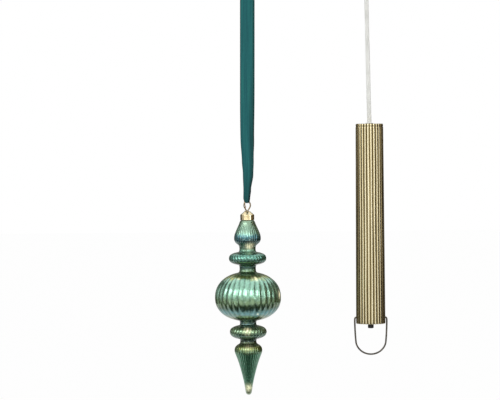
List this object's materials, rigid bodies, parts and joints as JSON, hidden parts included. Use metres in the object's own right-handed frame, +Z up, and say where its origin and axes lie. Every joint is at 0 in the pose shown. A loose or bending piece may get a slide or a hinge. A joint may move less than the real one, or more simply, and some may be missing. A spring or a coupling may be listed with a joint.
{
  "type": "lit glass finial ornament with battery tube",
  "caption": "Fluted teal glass finial lit from inside, hung on a doubled ribbon, fed by a clear lead from a slim fluted battery tube with a push button and a wire bail.",
  "frame": {"origin": "where the inside of the ribbon's top loop bears on its hook", "axes": "+Z up along the hanging ribbon, +X from the ornament to the battery tube, -Y towards the front"},
  "size_m": [0.1552, 0.0592, 0.416],
  "materials": {
    "ribbon_weave": "matt woven polyester ribbon",
    "gilt_metal": "bright gold plating on pressed metal and wire",
    "bronze_wire": "grey-bronze plated steel wire",
    "silvered_glass": "blown glass, mottled teal mirror coat inside",
    "copper_pair": "lacquered copper wires, twisted",
    "light_resin": "clear resin drop over a warm white light",
    "clear_pvc": "clear flexible PVC",
    "plated_brass": "antique-brass plating over a moulded sleeve",
    "white_moulding": "moulded plastic",
    "black_moulding": "moulded plastic",
    "red_insulation": "insulated wire",
    "cell_sleeve": "plain printed sleeve on a dry cell",
    "nickel_plate": "nickel-plated spring steel",
    "strip_brass": "bare brass strip",
    "board_laminate": "glass-fibre circuit board"
  },
  "bodies": {
    "hanging_line": {"ribbon": "ribbon_weave", "clear_lead": "clear_pvc", "lead_collar": "clear_pvc", "splice_sleeve": "clear_pvc", "lead_pigtail": "copper_pair"},
    "ornament": {"hanger_wire": "gilt_metal", "ornament_cap": "gilt_metal", "cap_bush": "clear_pvc", "light_wire": "copper_pair", "light_1": "light_resin", "light_2": "light_resin", "light_3": "light_resin", "light_4": "light_resin", "light_5": "light_resin", "light_6": "light_resin", "light_7": "light_resin"},
    "glass": {"glass_finial": "silvered_glass"},
    "battery_tube": {"fluted_sleeve": "plated_brass", "lead_grommet": "clear_pvc", "plus_wire": "red_insulation", "minus_wire": "black_moulding", "top_insulator": "white_moulding", "plus_contact": "nickel_plate", "cell_upper": "cell_sleeve", "cell_middle": "cell_sleeve", "cell_lower": "cell_sleeve", "cell_liner": "white_moulding", "return_strip": "strip_brass"},
    "tail_carrier": {"tail_spring": "nickel_plate"},
    "tail": {"tail_plug": "black_moulding", "spring_plate": "nickel_plate", "contact_ring": "strip_brass", "circuit_board": "board_laminate", "timer_chip": "black_moulding", "timer_crystal": "nickel_plate", "resistor": "white_moulding", "switch_body": "black_moulding"},
    "button": {"push_button": "black_moulding", "switch_plunger": "white_moulding"},
    "bail": {"bail": "bronze_wire"}
  },
  "joints": [
    {"name": "ornament_swing", "type": "hinge", "parent": "hanging_line", "child": "ornament", "pos_m": [-0.0022, 0, -0.241], "axis": [1, 0, 0], "range_deg": [-60, 60], "deforming": ["lead_pigtail"]},
    {"name": "glass_turn", "type": "hinge", "parent": "ornament", "child": "glass", "pos_m": [-0.0022, 0, -0.241], "axis": [0, 0, 1], "continuous": true},
    {"name": "tube_swing", "type": "hinge", "parent": "hanging_line", "child": "battery_tube", "pos_m": [0.1083, 0, -0.171], "axis": [1, 0, 0], "range_deg": [-40, 40], "deforming": ["clear_lead"]},
    {"name": "bail_swing", "type": "hinge", "parent": "battery_tube", "child": "bail", "pos_m": [0.1083, 0, -0.3464], "axis": [1, 0, 0], "range_deg": [-150, 150]},
    {"name": "tail_travel", "type": "slide", "parent": "battery_tube", "child": "tail_carrier", "axis": [0, 0, -1], "range_m": [0, 0.0045]},
    {"name": "tail_turn", "type": "hinge", "parent": "tail_carrier", "child": "tail", "pos_m": [0.1083, 0, -0.342], "axis": [0, 0, -1], "range_deg": [0, 1080]},
    {"name": "button_press", "type": "slide", "parent": "tail", "child": "button", "axis": [0, 0, 1], "range_m": [0, 0.0008], "stiffness_N_per_m": 1500}
  ],
  "couplings": [
    {"joint": "tail_travel", "follows": "tail_turn", "m_per_rad": 0.0002387}
  ]
}
